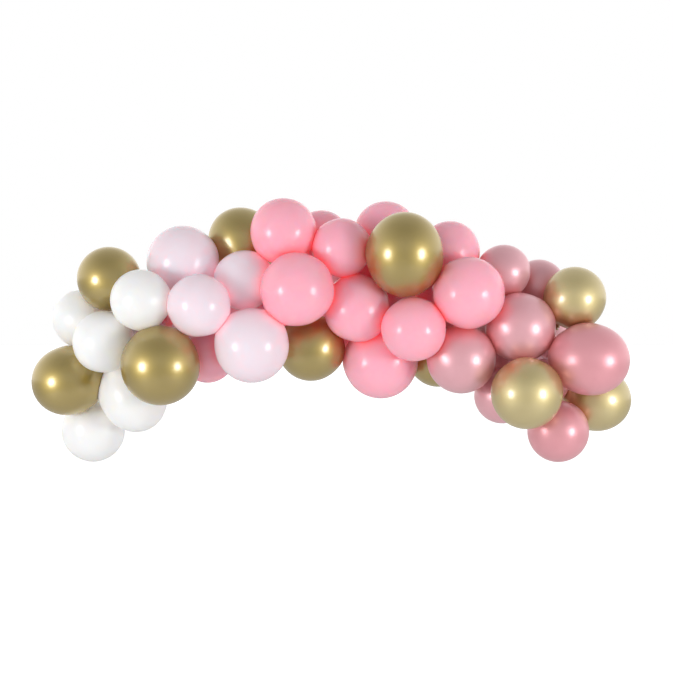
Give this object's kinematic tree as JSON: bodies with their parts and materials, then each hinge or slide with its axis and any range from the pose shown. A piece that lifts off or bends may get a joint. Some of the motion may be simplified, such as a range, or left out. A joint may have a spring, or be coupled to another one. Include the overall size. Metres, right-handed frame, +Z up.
{
  "type": "balloon garland",
  "caption": "Arched balloon garland: white, blush, pink, mauve and chrome-gold latex balloons of mixed sizes tied by their knots to a clear plastic strip.",
  "frame": {"origin": "on the middle of the clear strip at the crown of the arch, where the garland is tied up", "axes": "+X to the right along the arch's span, +Y to the back, towards the wall, +Z up"},
  "size_m": [1.987, 0.5826, 0.8685],
  "materials": {
    "white_latex": "opaque white latex, blown, softly glossy",
    "blush_latex": "very pale pink latex, blown, softly glossy",
    "pink_latex": "candy pink latex, blown, softly glossy",
    "mauve_pearl_latex": "dusty mauve latex with a pearl sheen",
    "rose_pearl_latex": "dusty rose latex with a pearl sheen",
    "chrome_gold_latex": "mirror-like olive gold latex",
    "clear_strip": "clear flexible polyethylene"
  },
  "bodies": {
    "root": {"balloon_strip": "clear_strip", "blush_balloon_1": "blush_latex", "blush_balloon_2": "blush_latex", "blush_balloon_3": "blush_latex", "blush_balloon_4": "blush_latex", "blush_balloon_5": "blush_latex", "gold_balloon_1": "chrome_gold_latex", "gold_balloon_2": "chrome_gold_latex", "gold_balloon_3": "chrome_gold_latex", "gold_balloon_4": "chrome_gold_latex", "gold_balloon_5": "chrome_gold_latex", "gold_balloon_6": "chrome_gold_latex", "gold_balloon_7": "chrome_gold_latex", "gold_balloon_8": "chrome_gold_latex", "gold_balloon_9": "chrome_gold_latex", "gold_balloon_10": "chrome_gold_latex", "gold_balloon_11": "chrome_gold_latex", "gold_balloon_12": "chrome_gold_latex", "gold_balloon_13": "chrome_gold_latex", "mauve_balloon_1": "mauve_pearl_latex", "mauve_balloon_2": "mauve_pearl_latex", "mauve_balloon_3": "mauve_pearl_latex", "mauve_balloon_4": "mauve_pearl_latex", "mauve_balloon_5": "mauve_pearl_latex", "mauve_balloon_6": "mauve_pearl_latex", "mauve_balloon_7": "mauve_pearl_latex", "mauve_balloon_8": "mauve_pearl_latex", "mauve_balloon_9": "mauve_pearl_latex", "pink_balloon_1": "pink_latex", "pink_balloon_2": "pink_latex", "pink_balloon_3": "pink_latex", "pink_balloon_4": "pink_latex", "pink_balloon_5": "pink_latex", "pink_balloon_6": "pink_latex", "pink_balloon_7": "pink_latex", "pink_balloon_8": "pink_latex", "pink_balloon_9": "pink_latex", "pink_balloon_10": "pink_latex", "pink_balloon_11": "pink_latex", "pink_balloon_12": "pink_latex", "pink_balloon_13": "pink_latex", "pink_balloon_14": "pink_latex", "pink_balloon_15": "pink_latex", "pink_balloon_16": "pink_latex", "pink_balloon_17": "pink_latex", "pink_balloon_18": "pink_latex", "rose_balloon_1": "rose_pearl_latex", "rose_balloon_2": "rose_pearl_latex", "white_balloon_1": "white_latex", "white_balloon_2": "white_latex", "white_balloon_3": "white_latex", "white_balloon_4": "white_latex", "white_balloon_5": "white_latex", "white_balloon_6": "white_latex"}
  },
  "joints": []
}
